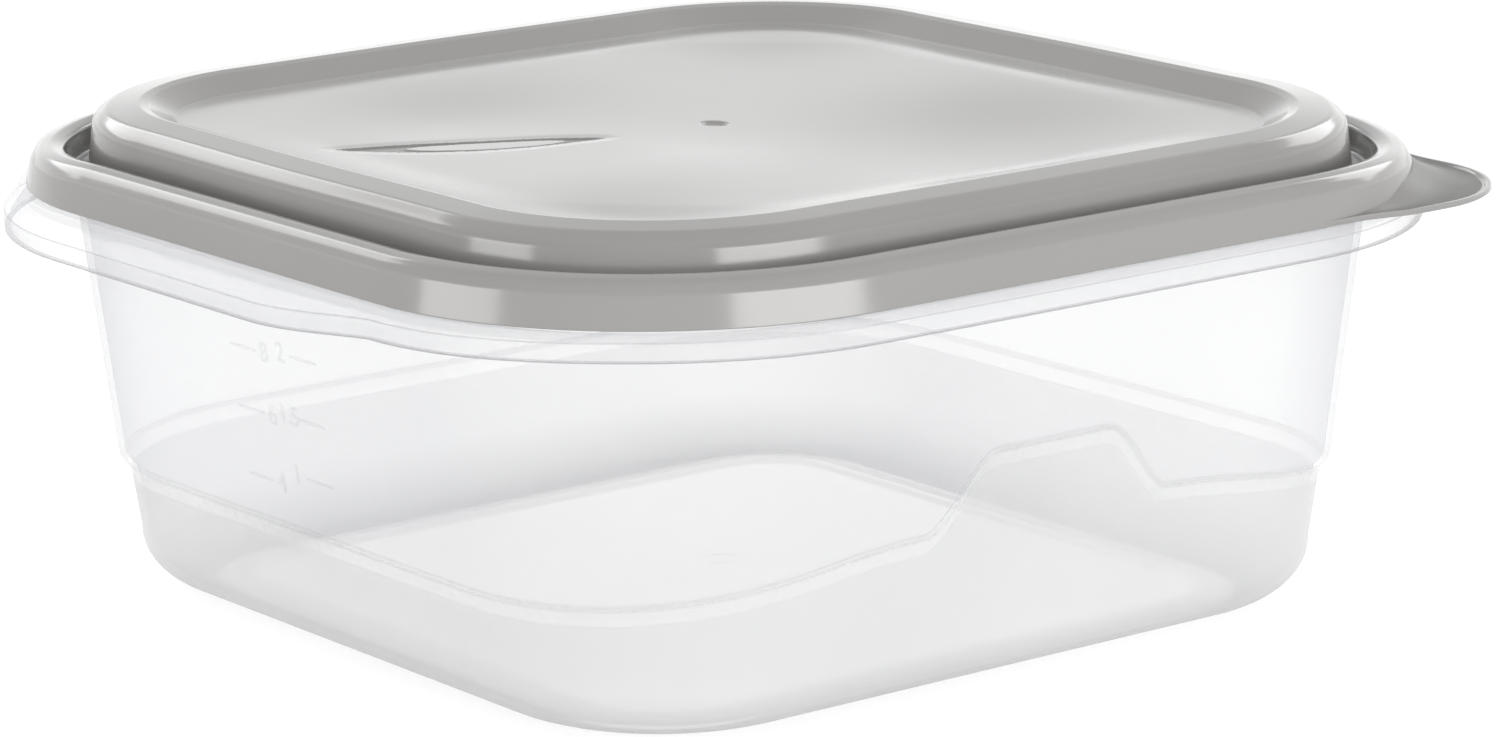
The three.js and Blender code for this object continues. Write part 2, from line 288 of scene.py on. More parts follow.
def loft(bm, section_at):
    """Faces between the sections of all places. Returns the first and the last ring."""
    columns = []
    for place in PLACES:
        section = filleted(section_at(place))
        columns.append([bm.verts.new(placed(knot, place)) for knot in section])
    tones = [knot.tone for knot in filleted(section_at(PLACES[0]))]
    for column, following in zip(columns, columns[1:] + columns[:1]):
        for j in range(len(column) - 1):
            face = bm.faces.new((column[j], following[j], following[j + 1], column[j + 1]))
            face.material_index = tones[j]
    return [c[0] for c in columns], [c[-1] for c in columns]


def finished_piece(name, bm, body, materials):
    """The bmesh as a smooth piece that rides on a body and takes its finish from a slot."""
    bmesh.ops.recalc_face_normals(bm, faces=bm.faces)
    bmesh.ops.scale(bm, vec=Vector((MM, MM, MM)), verts=bm.verts)
    mesh = bpy.data.meshes.new(name)
    bm.to_mesh(mesh)
    bm.free()
    mesh.shade_smooth()
    for material in materials:
        mesh.materials.append(material)
    piece = bpy.data.objects.new(name, mesh)
    bpy.context.scene.collection.objects.link(piece)
    weighted = piece.modifiers.new("even_shading", "WEIGHTED_NORMAL")
    weighted.weight = 50
    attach(piece, body)
    return piece


# ---------------------------------------------------------------- materials

def new_material(name):
    """A material with its nodes, its links and its main shader."""
    material = bpy.data.materials.new(name)
    material.use_nodes = True
    nodes = material.node_tree.nodes
    return material, nodes, material.node_tree.links, nodes["Principled BSDF"]


def add_node(nodes, kind, **settings):
    """A node with its settings. Names that are not properties are sockets."""
    node = nodes.new(kind)
    for name, value in settings.items():
        if hasattr(node, name):
            setattr(node, name, value)
        else:
            node.inputs[name.replace("_", " ")].default_value = value
    return node


def object_noise(nodes, links, scale, detail):
    """Noise fixed to the object, with its scale per metre."""
    where = add_node(nodes, "ShaderNodeTexCoord")
    noise = add_node(nodes, "ShaderNodeTexNoise", Scale=scale, Detail=detail)
    links.new(where.outputs["Object"], noise.inputs["Vector"])
    return noise.outputs["Fac"]


def spread(nodes, links, value, low, high):
    """Value from noise, stretched to run from low to high."""
    node = add_node(nodes, "ShaderNodeMapRange")
    node.inputs["From Min"].default_value = NOISE_LOW
    node.inputs["From Max"].default_value = NOISE_HIGH
    node.inputs["To Min"].default_value = low
    node.inputs["To Max"].default_value = high
    links.new(value, node.inputs["Value"])
    return node.outputs["Result"]


def two_tones(nodes, links, value, dark, light):
    """A colour between dark and light, chosen by a value from noise."""
    ramp = add_node(nodes, "ShaderNodeValToRGB")
    ramp.color_ramp.elements[0].position = NOISE_LOW
    ramp.color_ramp.elements[0].color = (*dark, 1)
    ramp.color_ramp.elements[1].position = NOISE_HIGH
    ramp.color_ramp.elements[1].color = (*light, 1)
    links.new(value, ramp.inputs["Fac"])
    return ramp.outputs["Color"]


def bump(nodes, links, height, distance, strength):
    """A surface direction tilted by noise that is distance metres high."""
    node = add_node(nodes, "ShaderNodeBump")
    node.inputs["Distance"].default_value = distance
    node.inputs["Strength"].default_value = strength
    links.new(height, node.inputs["Height"])
    return node.outputs["Normal"]


def mixed(nodes, links, share, first, second):
    """Two shaders mixed. share is a number or an output: 0 is all first, 1 all second."""
    mix = add_node(nodes, "ShaderNodeMixShader")
    if isinstance(share, float):
        mix.inputs["Fac"].default_value = share
    else:
        links.new(share, mix.inputs["Fac"])
    links.new(first, mix.inputs[1])
    links.new(second, mix.inputs[2])
    return mix.outputs["Shader"]


def grey_plastic(name, shades, smoothest, roughest, gloss):
    """Stiff opaque moulding: a faint cloudiness in the colour and a slightly uneven polish."""
    material, nodes, links, shader = new_material(name)
    cloud = object_noise(nodes, links, scale=14, detail=3)
    dark, light = [tuple(shade * part for part in GREY_TINT) for shade in shades]
    colour = two_tones(nodes, links, cloud, dark, light)
    links.new(colour, shader.inputs["Base Color"])
    polish = object_noise(nodes, links, scale=60, detail=2)
    links.new(spread(nodes, links, polish, smoothest, roughest), shader.inputs["Roughness"])
    grain = object_noise(nodes, links, scale=700, detail=2)
    tilt = bump(nodes, links, grain, distance=0.00001, strength=0.03)
    links.new(tilt, shader.inputs["Normal"])
    shader.inputs["IOR"].default_value = PLASTIC_IOR
    shader.inputs["Specular IOR Level"].default_value = gloss
    return material


def see_through_plastic(name, dark, light, cloud, edge, onset, glow_share, roughness, grain):
    """Milky clear moulding. cloud is how much one face hides, edge how much it hides on edge.

    onset says how early the milkiness grows as the face turns away, from 0, late, to 0.5, early.
    A share of the light that the milk catches goes on through the wall, so the inside is bright.
    """
    material, nodes, links, shader = new_material(name)
    wisps = object_noise(nodes, links, scale=18, detail=3)
    colour = two_tones(nodes, links, wisps, dark, light)
    links.new(colour, shader.inputs["Base Color"])
    polish = object_noise(nodes, links, scale=500, detail=3)
    rough = spread(nodes, links, polish, roughness * 0.8, roughness * 1.2)
    links.new(rough, shader.inputs["Roughness"])
    fine = object_noise(nodes, links, scale=2600, detail=2)
    tilt = bump(nodes, links, fine, distance=0.00003, strength=grain)
    links.new(tilt, shader.inputs["Normal"])
    shader.inputs["IOR"].default_value = PLASTIC_IOR
    facing = add_node(nodes, "ShaderNodeLayerWeight", Blend=onset)
    hide = add_node(nodes, "ShaderNodeMapRange")
    hide.inputs["To Min"].default_value = cloud
    hide.inputs["To Max"].default_value = edge
    links.new(facing.outputs["Facing"], hide.inputs["Value"])
    clear = add_node(nodes, "ShaderNodeBsdfTransparent")
    glow = add_node(nodes, "ShaderNodeBsdfTranslucent")
    links.new(colour, glow.inputs["Color"])
    milk = mixed(nodes, links, glow_share, shader.outputs["BSDF"], glow.outputs["BSDF"])
    surface = mixed(nodes, links, hide.outputs["Result"], clear.outputs["BSDF"], milk)
    links.new(surface, nodes["Material Output"].inputs["Surface"])
    return material


def floor_paint():
    """A pale light table: its own glow keeps the contact shadow faint and lights the tub's base."""
    material, nodes, links, shader = new_material("pale_floor")
    speckle = object_noise(nodes, links, scale=3, detail=2)
    colour = two_tones(nodes, links, speckle, (0.26, 0.26, 0.26), (0.28, 0.28, 0.28))
    links.new(colour, shader.inputs["Base Color"])
    shader.inputs["Emission Color"].default_value = (1.0, 1.0, 1.0, 1)
    shader.inputs["Emission Strength"].default_value = TABLE_GLOW
    shader.inputs["Roughness"].default_value = 0.9
    shader.inputs["Specular IOR Level"].default_value = 0.1
    return material


GREY = grey_plastic(
    "grey_polypropylene", shades=(0.195, 0.206), smoothest=0.14, roughest=0.17, gloss=0.5
)
# Rougher grey for the tab's top, darkened to paint shade
TAB_SHADE_GREY = grey_plastic(
    "tab_painted_shade_polypropylene", shades=(0.125, 0.135), smoothest=0.38, roughest=0.46, gloss=0.15
)
# Darker grey for the dent's floor: painted shade of the recess
DENT_SHADE_GREY = grey_plastic(
    "dent_painted_shade_polypropylene", shades=(0.16, 0.17), smoothest=0.3, roughest=0.36, gloss=0.25
)
CLEAR = see_through_plastic(
    "clear_polypropylene", dark=(0.62, 0.625, 0.645), light=(0.66, 0.665, 0.68),
    cloud=0.065, edge=0.9, onset=0.12, glow_share=0.53, roughness=0.1, grain=0.05,
)
MATT = see_through_plastic(
    "matt_polypropylene", dark=(0.66, 0.66, 0.665), light=(0.69, 0.69, 0.695),
    cloud=0.5, edge=0.95, onset=0.2, glow_share=0.55, roughness=0.55, grain=0.4,
)
SATIN = see_through_plastic(
    "satin_polypropylene", dark=(0.78, 0.78, 0.78), light=(0.82, 0.82, 0.82),
    cloud=0.35, edge=0.85, onset=0.1, glow_share=0.6, roughness=0.3, grain=0.1,
)
BASE = see_through_plastic(
    "base_polypropylene", dark=(0.9, 0.9, 0.9), light=(0.93, 0.93, 0.93),
    cloud=0.25, edge=0.45, onset=0.1, glow_share=0.9, roughness=0.5, grain=0.4,
)
FLOOR = see_through_plastic(
    "floor_polypropylene", dark=(0.9, 0.9, 0.9), light=(0.93, 0.93, 0.93),
    cloud=0.06, edge=0.25, onset=0.1, glow_share=0.7, roughness=0.1, grain=0.05,
)
# Dark finish for narrow strips on the flange: painted shade lines where its bottom edge and crease
# fall in shade
SHADE_LINE_PLASTIC = see_through_plastic(
    "painted_shade_line_polypropylene", dark=(0.34, 0.34, 0.36), light=(0.38, 0.38, 0.4),
    cloud=0.45, edge=1.0, onset=0.1, glow_share=0.3, roughness=0.2, grain=0.05,
)
MARKING = see_through_plastic(
    "marking_polypropylene", dark=(0.6, 0.605, 0.63), light=(0.64, 0.645, 0.66),
    cloud=0.05, edge=0.4, onset=0.1, glow_share=0.5, roughness=0.2, grain=0.05,
)


# ---------------------------------------------------------------- tub

def heel(inset, foot_z, top_z):
    """The rounded heel between base and wall, as a quarter of an ellipse, from the foot up."""
    (foot, _), (top, _) = HEEL_FOOT, HEEL_TOP
    knots = []
    for step in range(HEEL_STEPS + 1):
        angle = QUARTER * step / HEEL_STEPS
        half = foot + (top - foot) * math.sin(angle) - inset
        z = foot_z + (top_z - foot_z) * (1 - math.cos(angle))
        blend = step / HEEL_STEPS
        centre = BASE_CORNER_CENTRE * (1 - blend) + CORNER_CENTRE * blend
        knots.append(Knot(half, z, 0, centre, tone=MATT_TONE))
    return knots


def tongue_climb(place):
    """How far the shoulder climbs the -Y wall at a place."""
    if place.out.y > -0.01:
        return 0.0
    x = place.base.x * CORNER_CENTRE + place.out.x * (BAND_TOP[0] - CORNER_CENTRE)
    tongue = 1 - smooth(TONGUE_TOP_HALF_WIDTH, TONGUE_FOOT_HALF_WIDTH, abs(x - TONGUE_MIDDLE))
    broad = 1 - smooth(SWELL_TOP_HALF_WIDTH, SWELL_FOOT_HALF_WIDTH, abs(x))
    return TONGUE_RISE * tongue + SHOULDER_SWELL * broad


def rim_dip(place):
    """How much lower the rim is at a place: it dips over every corner but the (-X, -Y) one."""
    towards = place.out.x * math.cos(DIP_TURN) + place.out.y * math.sin(DIP_TURN)
    return RIM_DIP * smooth(-0.8, 0.0, towards)


def lip_share(place):
    """1 along the -X and +Y sides, fading to 0 over the corners at either end."""
    along = (place.out.y - place.out.x) / math.sqrt(2)
    side = (place.base.y - place.base.x) / 2
    return smooth(-0.1, 0.71, along) * smooth(-0.15, 0.35, side)


def shoulder(inset, rise):
    """The small outward step above the matt band, slid up along the drafted wall."""
    draft = (WALL_TOP[0] - SHOULDER[0]) / (WALL_TOP[1] - SHOULDER[1])
    shift = rise * draft - inset
    lift = rise + inset * 0.25
    return [
        Knot(BAND_TOP[0] + shift, BAND_TOP[1] + lift, tone=SATIN_TONE),
        Knot(SHOULDER_FOOT[0] + shift, SHOULDER_FOOT[1] + lift, 0.7, tone=SATIN_TONE),
        Knot(SHOULDER[0] + shift, SHOULDER[1] + lift, 1.2),
    ]


def flange(share):
    """The turned-down flange, from the shelf's underside, round the outside, to its top.

    A share of 1 is the wide lip of the -X and +Y sides, which reaches farther and hangs lower.
    """
    def lip(half, z, radius, reach, drop, tone=CLEAR_TONE):
        return Knot(half + share * reach, z - share * drop, radius, tone=tone)

    inner = FLANGE_HALF - WALL
    return [
        Knot(*WALL_TOP, 1.6),
        lip(inner - 1.2, 78.0, 0.8, 1.8, 0.2),
        lip(inner, 77.0, 0.6, LIP_REACH, 2.6),
        # Painted shade lines: the flange's underside, a thin band at its bottom edge, and a thin
        # band along the crease
        lip(inner, FLANGE_BOTTOM, 0.3, LIP_REACH, 3.1, tone=SHADE_LINE_TONE),
        lip(FLANGE_HALF, FLANGE_BOTTOM, 0.2, LIP_REACH, 3.1, tone=SHADE_LINE_TONE),
        lip(FLANGE_HALF, FLANGE_BOTTOM + SHADE_LINE_HEIGHT, 0, LIP_REACH, 3.1),
        lip(FLANGE_HALF, CREASE, 0, LIP_REACH, 2.9, tone=SHADE_LINE_TONE),
        lip(FLANGE_HALF - 0.1, CREASE + SHADE_LINE_HEIGHT, 0, LIP_REACH - 0.1, 2.9),
        lip(FLANGE_HALF - 0.3, 79.3, 0.5, 0.9, 1.7),
        lip(FLANGE_HALF - 1.1, SHELF_TOP, 0.5, 1.4, 0.0),
    ]


def upstand(dip):
    """The rim that the lid's channel sits over, with the snap bead near its top."""
    outer = RIM_INNER_HALF + 2
    return [
        Knot(outer - 0.1, SHELF_TOP, 0.4),
        Knot(outer, 84.6 - dip, 0.5),
        Knot(outer + 1.15, 86.0 - dip, 0.5),
        Knot(outer + 0.8, RIM_TOP - dip, 0.7),
        Knot(RIM_INNER_HALF, RIM_TOP - dip, 0.7),
        Knot(RIM_INNER_HALF, SHELF_TOP - 0.3, 0.8),
        Knot(WALL_TOP[0] - WALL, SHELF_TOP - 0.3, 1.3),
    ]


def tub_section(place):
    """From the middle of the underside up the outside, over the rim and down to the floor."""
    rise = tongue_climb(place)
    underside = [
        Knot(1.0, BASE_RISE, tone=BASE_TONE),
        Knot(65.5, BASE_RISE, 1.0, BASE_CORNER_CENTRE, tone=BASE_TONE),
        Knot(68.5, 0.0, 0.7, BASE_CORNER_CENTRE, tone=BASE_TONE),
    ]
    floor = [
        Knot(69.8, WALL, 0.8, BASE_CORNER_CENTRE, tone=FLOOR_TONE),
        Knot(66.2, INNER_FLOOR, 0.9, BASE_CORNER_CENTRE, tone=FLOOR_TONE),
        Knot(4.0, INNER_FLOOR, tone=FLOOR_TONE),
        Knot(3.4, GATE_RING, 0.15, tone=FLOOR_TONE),
        Knot(2.7, GATE_RING, 0.15, tone=FLOOR_TONE),
        Knot(2.2, INNER_FLOOR, tone=FLOOR_TONE),
        Knot(1.0, INNER_FLOOR, tone=FLOOR_TONE),
    ]
    outer_heel = heel(0, HEEL_FOOT[1], HEEL_TOP[1])
    inner_heel = [knot._replace(tone=CLEAR_TONE) for knot in heel(WALL, WALL, HEEL_TOP[1] + 0.5)]
    inner_shoulder = [knot._replace(tone=CLEAR_TONE) for knot in shoulder(WALL, rise)]
    return [
        *underside,
        *outer_heel,
        *shoulder(0, rise),
        *flange(lip_share(place)),
        *upstand(rim_dip(place)),
        *reversed(inner_shoulder),
        *reversed(inner_heel),
        *floor,
    ]


def make_tub():
    """The tub's shell, one closed loft with a small face in the middle of each side of its base."""
    bm = bmesh.new()
    first, last = loft(bm, tub_section)
    bm.faces.new(first).material_index = BASE_TONE
    bm.faces.new(last).material_index = FLOOR_TONE
    finishes = [CLEAR, MATT, BASE, SHADE_LINE_PLASTIC, SATIN, FLOOR]
    tub = finished_piece("tub_shell", bm, "tub_body", finishes)
    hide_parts("tub")
    return tub


# ---------------------------------------------------------------- lid

def swell(x, y):
    """The sum of the soft swells: each rises along SWELL_TURN and fades out sideways."""
    along = Vector((math.cos(SWELL_TURN), math.sin(SWELL_TURN)))
    total = 0.0
    for centre_x, centre_y, spread_out, slope in SWELLS:
        offset = Vector((x - centre_x, y - centre_y))
        ahead = offset.dot(along)
        aside = offset.length_squared - ahead**2
        fade = math.exp(-aside / (2 * spread_out**2))
        step = math.erf(ahead / (math.sqrt(2) * spread_out))
        total += slope * spread_out * math.sqrt(QUARTER) * step * fade
    return total


def field_height(x, y):
    """Height of the lid's field: a shallow dish with soft swells, the dent and the dimple."""
    distance = math.hypot(x, y)
    aside = max(0.0, abs(x) - FIELD_CORNER_CENTRE), max(0.0, abs(y) - FIELD_CORNER_CENTRE)
    from_edge = FIELD_HALF - FIELD_CORNER_CENTRE - math.hypot(*aside)
    dish = FIELD_DISH * (1 - min(1.0, distance / FIELD_HALF) ** 2)
    height = FIELD_LEVEL + (swell(x, y) - dish) * smooth(0.0, FIELD_EASE, from_edge)
    height -= DIMPLE_DEPTH * (1 - smooth(DIMPLE_RADIUS - DIMPLE_EASE, DIMPLE_RADIUS, distance))
    return height - dent_depth(x, y)


def dent_frame(x, y):
    """Distances along and across the dent from its middle."""
    offset = Vector((x, y)) - DENT_CENTRE
    offset.rotate(Matrix.Rotation(-DENT_TURN, 2))
    return offset


def dent_width(along):
    """Half width of the dent's pointed oval at a distance along it from its middle."""
    bow, beam = DENT_LENGTH / 2, DENT_WIDTH / 2
    radius = (bow**2 + beam**2) / (2 * beam)
    return math.sqrt(max(0.0, radius**2 - along**2)) - radius + beam


def pad_distance(spot):
    """Distance out from the edge of the level pad in the dent, negative inside it."""
    half_length, half_width = DENT_PAD_LENGTH / 2, DENT_PAD_WIDTH / 2
    u, v = (spot.x - DENT_PAD_CENTRE) / half_length, spot.y / half_width
    steepness = 2 * math.hypot(u / half_length, v / half_width)
    return (u**2 + v**2 - 1) / max(steepness, 0.01)


def dent_depth(x, y):
    """The dent is a shallow pointed oval with a level pad that stands up from its floor."""
    spot = dent_frame(x, y)
    bow = DENT_LENGTH / 2
    if abs(spot.x) > bow + DENT_HALO:
        return 0.0
    inside = dent_width(spot.x) - abs(spot.y)
    halo = smooth(-DENT_HALO, 0.0, inside) * smooth(-DENT_HALO, 1.0, bow - abs(spot.x))
    depth = DENT_DEPTH * min(1.0, max(0.0, inside / DENT_STEP))
    beside_pad = min(1.0, max(0.0, pad_distance(spot) / DENT_STEP))
    return DENT_ROLL_OFF * halo + DENT_PAD_DEPTH + (depth - DENT_PAD_DEPTH) * beside_pad


def in_dent_floor(x, y):
    """Whether a point is in the dent and beside its pad."""
    spot = dent_frame(x, y)
    inside = dent_width(spot.x) - abs(spot.y)
    return abs(spot.x) < DENT_LENGTH / 2 and inside > 0 and pad_distance(spot) > 0


def dent_loops():
    """The closed outlines of the dent's creases: its edge, its floor, and the pad's foot and top."""
    loops = []
    tip_steps = range(-DENT_TIP_STEPS, DENT_TIP_STEPS + 1)
    for inset in (0.0, DENT_STEP):
        bow = DENT_LENGTH / 2 - inset * DENT_TIP_INSET
        spots = [bow * math.sin(QUARTER * step / DENT_TIP_STEPS) for step in tip_steps]
        far = [Vector((x, dent_width(x) - inset)) for x in spots]
        near = [Vector((spot.x, -spot.y)) for spot in reversed(far[1:-1])]
        loops.append(far + near)
    for outset in (DENT_STEP, 0.0):
        half_length, half_width = DENT_PAD_LENGTH / 2 + outset, DENT_PAD_WIDTH / 2 + outset
        loop = []
        for step in range(DENT_PAD_STEPS):
            angle = 2 * math.pi * step / DENT_PAD_STEPS
            x = DENT_PAD_CENTRE + half_length * math.cos(angle)
            loop.append(Vector((x, half_width * math.sin(angle))))
        loops.append(loop)
    for loop in loops:
        for spot in loop:
            spot.rotate(Matrix.Rotation(DENT_TURN, 2))
    return [[DENT_CENTRE + spot for spot in loop] for loop in loops]


def grid_points(across, step):
    """Multiples of step from -across to across."""
    count = int(across / step)
    return [i * step for i in range(-count, count + 1)]


def field_points():
    """Points inside the rim: a coarse net, a fine net at the dent, and rings at the dimple."""
    points = []
    limit = FIELD_HALF - NET_MARGIN
    corner_radius = limit - FIELD_CORNER_CENTRE
    dent_half_length, dent_half_width = DENT_LENGTH / 2 + DENT_HALO, DENT_WIDTH / 2 + DENT_HALO
    for x in grid_points(limit, NET_STEP):
        for y in grid_points(limit, NET_STEP):
            spot = dent_frame(x, y)
            beside_length = abs(spot.x) - dent_half_length
            beside_width = abs(spot.y) - dent_half_width
            near_dent = max(beside_length, beside_width) < 0.5
            near_dimple = math.hypot(x, y) <= DIMPLE_RADIUS + 1
            aside = max(0, abs(x) - FIELD_CORNER_CENTRE), max(0, abs(y) - FIELD_CORNER_CENTRE)
            if math.hypot(*aside) < corner_radius and not near_dent and not near_dimple:
                points.append(Vector((x, y)))
    along_step, across_step = DENT_NET_STEPS
    for along in grid_points(dent_half_length, along_step):
        for across in grid_points(dent_half_width, across_step):
            spot = Vector((along, across))
            spot.rotate(Matrix.Rotation(DENT_TURN, 2))
            points.append(DENT_CENTRE + spot)
    for radius in DIMPLE_RINGS:
        for step in range(DIMPLE_STEPS):
            angle = 2 * math.pi * step / DIMPLE_STEPS
            points.append(Vector((math.cos(angle), math.sin(angle))) * radius)
    return points


def add_field(bm, rim, drop):
    """Closes a rim ring with the sculpted field, lowered by drop. The dent's floor takes a darker
    grey that paints the shade of the recess.
    """
    points, edges = [], []
    for loop in [[Vector((v.co.x, v.co.y)) for v in rim], *dent_loops()]:
        first, count = len(points), len(loop)
        edges += [(first + i, first + (i + 1) % count) for i in range(count)]
        points += loop
    found, _, triangles, *_ = delaunay_2d_cdt(points + field_points(), edges, [], 0, 1e-6)
    verts = list(rim)
    for spot in found[len(rim):]:
        verts.append(bm.verts.new((spot.x, spot.y, field_height(spot.x, spot.y) - drop)))
    for triangle in triangles:
        face = bm.faces.new([verts[i] for i in triangle])
        middle = sum((found[i] for i in triangle), Vector((0, 0))) / 3
        face.material_index = DENT_SHADE_TONE if in_dent_floor(middle.x, middle.y) else LID_TONE


def lid_section(place):
    """From the field's edge over the ridge, moat, rim and skirt, and back along the underside."""
    def raised(half, z, radius):
        return Knot(half, z, radius, CORNER_CENTRE, PLATEAU_BULGE)

    dip = rim_dip(place)
    field_edge = Knot(FIELD_HALF, FIELD_LEVEL, 0, FIELD_CORNER_CENTRE, FIELD_BULGE)
    return [
        field_edge,
        field_edge._replace(half=FIELD_HALF + 0.5, z=FIELD_LEVEL + 0.12),
        raised(88.3, 94.35, 1.6),
        raised(90.0, RIDGE_TOP + 0.05, 2.0),
        raised(96.4, 94.15, 3.0),
        raised(98.95, 92.4, 3.0),
        raised(100.3, MOAT_FLOOR, 1.0),
        Knot(103.9, MOAT_FLOOR, 1.0),
        Knot(104.5, 88.5 - dip, 1.2),
        Knot(107.0, RIM_CREST + 0.15 - dip, 3.0),
        Knot(109.9, 88.5 - dip, 2.6),
        Knot(111.1, 86.4 - dip, 2.6),
        Knot(SKIRT_HALF, SKIRT_BOTTOM, 0.2),
        Knot(SKIRT_HALF - 1.2, SKIRT_BOTTOM, 0.1),
        Knot(110.6, SKIRT_BOTTOM + 1.6, 0.4),
        Knot(109.4, SKIRT_BOTTOM + 3.0, 0.6),
        Knot(110.0, SKIRT_BOTTOM + 4.4 - dip / 2, 0.4),
        Knot(109.4, 87.6 - dip, 0.9),
        Knot(105.5, 87.8 - dip, 0.9),
        Knot(105.4, MOAT_FLOOR - WALL, 1.0),
        raised(99.3, MOAT_FLOOR - WALL, 1.0),
        raised(97.4, 92.2, 1.2),
        raised(89.6, 93.5, 1.2),
        Knot(82.4, 90.3, 0.8, FIELD_CORNER_CENTRE, FIELD_BULGE),
        Knot(FIELD_HALF - 0.6, FIELD_LEVEL - WALL, 0, FIELD_CORNER_CENTRE, FIELD_BULGE),
    ]


def make_lid():
    """The lid's shell: a loft from rim to rim, with the sculpted field in both of its faces."""
    bm = bmesh.new()
    top_rim, under_rim = loft(bm, lid_section)
    add_field(bm, top_rim, 0)
    add_field(bm, under_rim, WALL)
    lid = finished_piece("lid_shell", bm, "lid_body", [GREY, DENT_SHADE_GREY])
    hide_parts("lid")
    return lid


# ---------------------------------------------------------------- pull tab

def tab_outline():
    """The tab's outer edge, from the -Y side round the corner to the +X side."""
    reach = TAB_HALF - TAB_CORNER_RADIUS
    start = CORNER_CENTRE
    steps = TAB_OUTLINE_STEPS
    near = [Vector((start + (reach - start) * i / steps, -TAB_HALF)) for i in range(steps)]
    angles = [i * QUARTER / steps - QUARTER for i in range(steps + 1)]
    hub = Vector((reach, -reach))
    tip = [hub + Vector((math.cos(a), math.sin(a))) * TAB_CORNER_RADIUS for a in angles]
    far = [Vector((-spot.y, -spot.x)) for spot in reversed(near)]
    return near + tip + far


def tab_section(width):
    """Section across the tab as (distance from the skirt, z): a concave sweep, then a bead."""
    share = smooth(0.0, TAB_EASE, width)
    bottom = SKIRT_BOTTOM - TAB_DROOP * smooth(0.5, 6.0, width)
    low = bottom + TAB_THICKNESS - TAB_BEAD * share
    root = low + 0.4 + TAB_ROOT_RISE * share
    bead = 0.35 + 0.35 * share
    sweep_end = max(0.05, width - 2.4 * bead)
    top = [(-TAB_ROOT_INSET, root + 0.6)]
    for i in range(TAB_SWEEP_STEPS + 1):
        ahead = i / TAB_SWEEP_STEPS
        fall = (1 - ahead) ** TAB_SWEEP_POWER
        top.append((sweep_end * ahead - 0.15, low + (root - low) * fall))
    half_steps = TAB_BEAD_STEPS // 2
    for i in range(TAB_BEAD_STEPS + 1):
        angle = math.pi * (1 - 0.78 * i / TAB_BEAD_STEPS)
        climb = math.sin(min(angle, math.pi - angle) if i < half_steps else QUARTER)
        rise = TAB_BEAD * share * climb * min(1.0, i / half_steps)
        top.append((width - bead * (1 - math.cos(angle)), low + rise))
    middle = (bottom + low) / 2
    edge = [(width, middle), (width - 0.1, bottom + 0.2), (width - 0.35, bottom)]
    return top + edge + [(-TAB_ROOT_INSET, SKIRT_BOTTOM + 0.02)]


def make_tab():
    """The pull tab: its section swept along its outline. Its bead and edge are glossy; the rest is a
    rougher grey, darkened to paint shade on the tab's top.
    """
    bm = bmesh.new()
    hub = Vector((CORNER_CENTRE, -CORNER_CENTRE))
    root = SKIRT_HALF - CORNER_CENTRE - 0.35
    columns = []
    for edge in tab_outline():
        out = (edge - hub).normalized()
        width = (edge - hub).length - root
        spots = [(hub + out * (root + distance), z) for distance, z in tab_section(width)]
        columns.append([bm.verts.new((spot.x, spot.y, z)) for spot, z in spots])
    for column, following in zip(columns, columns[1:]):
        for j in range(len(column)):
            k = (j + 1) % len(column)
            face = bm.faces.new((column[j], following[j], following[k], column[k]))
            face.material_index = BEAD_TONE if j > TAB_SWEEP_STEPS else TAB_SHADE_TONE
    bm.faces.new(columns[0])
    bm.faces.new(columns[-1])
    return finished_piece("lid_tab", bm, "lid_body", [TAB_SHADE_GREY, GREY])


# ---------------------------------------------------------------- measuring marks

def wall_half(z):
    """Half side of the -X wall's outer face at a height above the shoulder."""
    share = (z - SHOULDER[1]) / (WALL_TOP[1] - SHOULDER[1])
    return SHOULDER[0] + (WALL_TOP[0] - SHOULDER[0]) * share


def add_tick(bm, y, z):
    """A low rounded rib on the -X wall, from y towards -Y, thinner at its ends."""
    rings = []
    for step in range(TICK_STEPS + 1):
        share = step / TICK_STEPS
        fullness = math.sin(math.pi * (0.12 + 0.76 * share)) ** 0.3
        ring = []
        for k in range(TICK_SIDES):
            angle = 2 * math.pi * k / TICK_SIDES
            out = MARK_HEIGHT * fullness * math.cos(angle)
            lift = MARK_WIDTH / 2 * fullness * math.sin(angle)
            spot = (-wall_half(z + lift) - out, y - TICK_LENGTH * share, z + lift)
            ring.append(bm.verts.new(spot))
        rings.append(ring)
    for ring, following in zip(rings, rings[1:]):
        for k in range(TICK_SIDES):
            m = (k + 1) % TICK_SIDES
            bm.faces.new((ring[k], following[k], following[m], ring[m]))
    bm.faces.new(rings[0])
    bm.faces.new(list(reversed(rings[-1])))


def add_number(bm, text, y, z):
    """A number in low relief on the -X wall, read from outside, with its middle at (y, z)."""
    curve = bpy.data.curves.new("number", "FONT")
    curve.body = text
    curve.size = NUMBER_SIZE
    curve.align_x = "CENTER"
    curve.align_y = "CENTER"
    curve.extrude = MARK_HEIGHT
    curve.bevel_depth = NUMBER_BEVEL
    shape = bpy.data.objects.new("number", curve)
    bpy.context.scene.collection.objects.link(shape)
    mesh = bpy.data.meshes.new_from_object(shape)
    draft = math.atan((WALL_TOP[0] - SHOULDER[0]) / (WALL_TOP[1] - SHOULDER[1]))
    turn = Matrix.Rotation(-QUARTER, 4, "Z") @ Matrix.Rotation(QUARTER + draft, 4, "X")
    mesh.transform(Matrix.Translation((-wall_half(z), y, z)) @ turn)
    bm.from_mesh(mesh)
    bpy.data.objects.remove(shape)
    bpy.data.curves.remove(curve)
    bpy.data.meshes.remove(mesh)


